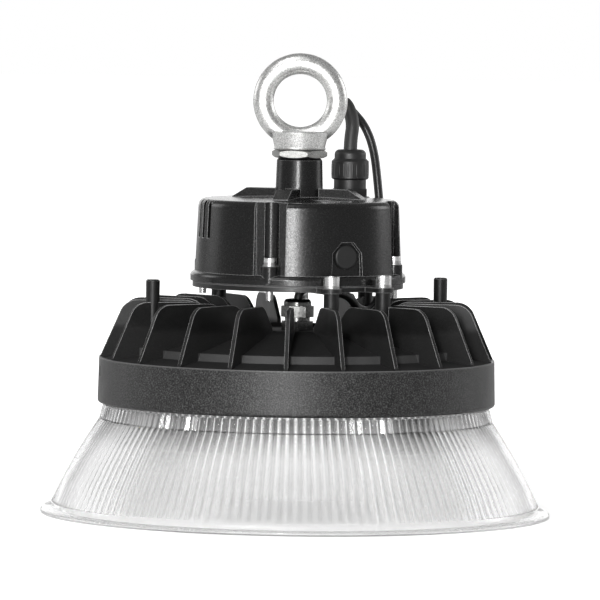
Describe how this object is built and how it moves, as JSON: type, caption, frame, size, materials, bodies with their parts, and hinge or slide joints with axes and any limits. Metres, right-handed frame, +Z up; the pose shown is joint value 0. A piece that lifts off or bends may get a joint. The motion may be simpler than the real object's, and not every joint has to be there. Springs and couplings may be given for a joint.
{
  "type": "high bay light",
  "caption": "Round high bay light: finned black heat sink over a clear fluted refractor skirt, cast driver housing above with a lifting eye, cable glands and a looped output cable.",
  "frame": {"origin": "on the axis of the light, in the plane that the refractor's rim rests on", "axes": "+Z up along the axis towards the lifting eye; -Y towards the front, where the eye's ring is seen face on; +X to the right seen from the front"},
  "size_m": [0.3396, 0.3396, 0.3072],
  "materials": {
    "clear_skirt": "clear moulded, fine flutes",
    "clear_lens": "clear moulded, smooth",
    "black_coat": "black powder coat, fine grain",
    "black_housing": "black paint, satin gloss",
    "zinc_steel": "zinc plated, grainy",
    "bright_steel": "bright nickel plated",
    "dark_steel": "dull plated",
    "nickel": "nickel plated brass",
    "black_plastic": "moulded, matte",
    "gland_rubber": "matte",
    "cable_jacket": "smooth, satin",
    "sleeve_tube": "dull heat-shrink tube",
    "seal_rubber": "silicone, matte",
    "board_white": "white solder mask",
    "board_green": "green solder mask",
    "lamp_phosphor": "phosphor coated",
    "thermal_sheet": "soft, matte",
    "transformer_core": "ferrite and tape",
    "capacitor_sleeve": "shrink sleeve"
  },
  "bodies": {
    "root": {"refractor": "clear_skirt", "retaining_ring": "black_coat", "ring_screws": "dark_steel", "heat_sink": "black_coat", "thermal_pad": "thermal_sheet", "lamp_board": "board_white", "lamp_chips": "lamp_phosphor", "lamp_board_screws": "dark_steel", "lens_gasket": "seal_rubber", "lens_plate": "clear_lens", "lens_frame": "black_coat", "lens_frame_screws": "dark_steel", "refractor_screws": "dark_steel", "driver_base_plate": "black_housing", "driver_housing": "black_housing", "port_plug": "black_plastic", "driver_gasket": "seal_rubber", "driver_board": "board_green", "driver_transformer": "transformer_core", "driver_capacitors": "capacitor_sleeve", "driver_board_screws": "dark_steel", "cover_washers": "dark_steel", "cover_screws": "dark_steel", "driver_screw_washers": "bright_steel", "driver_screws": "bright_steel", "eye_bolt": "zinc_steel", "lock_nut": "zinc_steel", "top_gland_body": "black_plastic", "top_gland_seal": "gland_rubber", "top_gland_nut": "black_plastic", "hub_gland_body": "nickel", "hub_gland_seal": "gland_rubber", "hub_gland_nut": "nickel", "output_cable": "cable_jacket", "cable_sleeve": "sleeve_tube"}
  },
  "joints": []
}
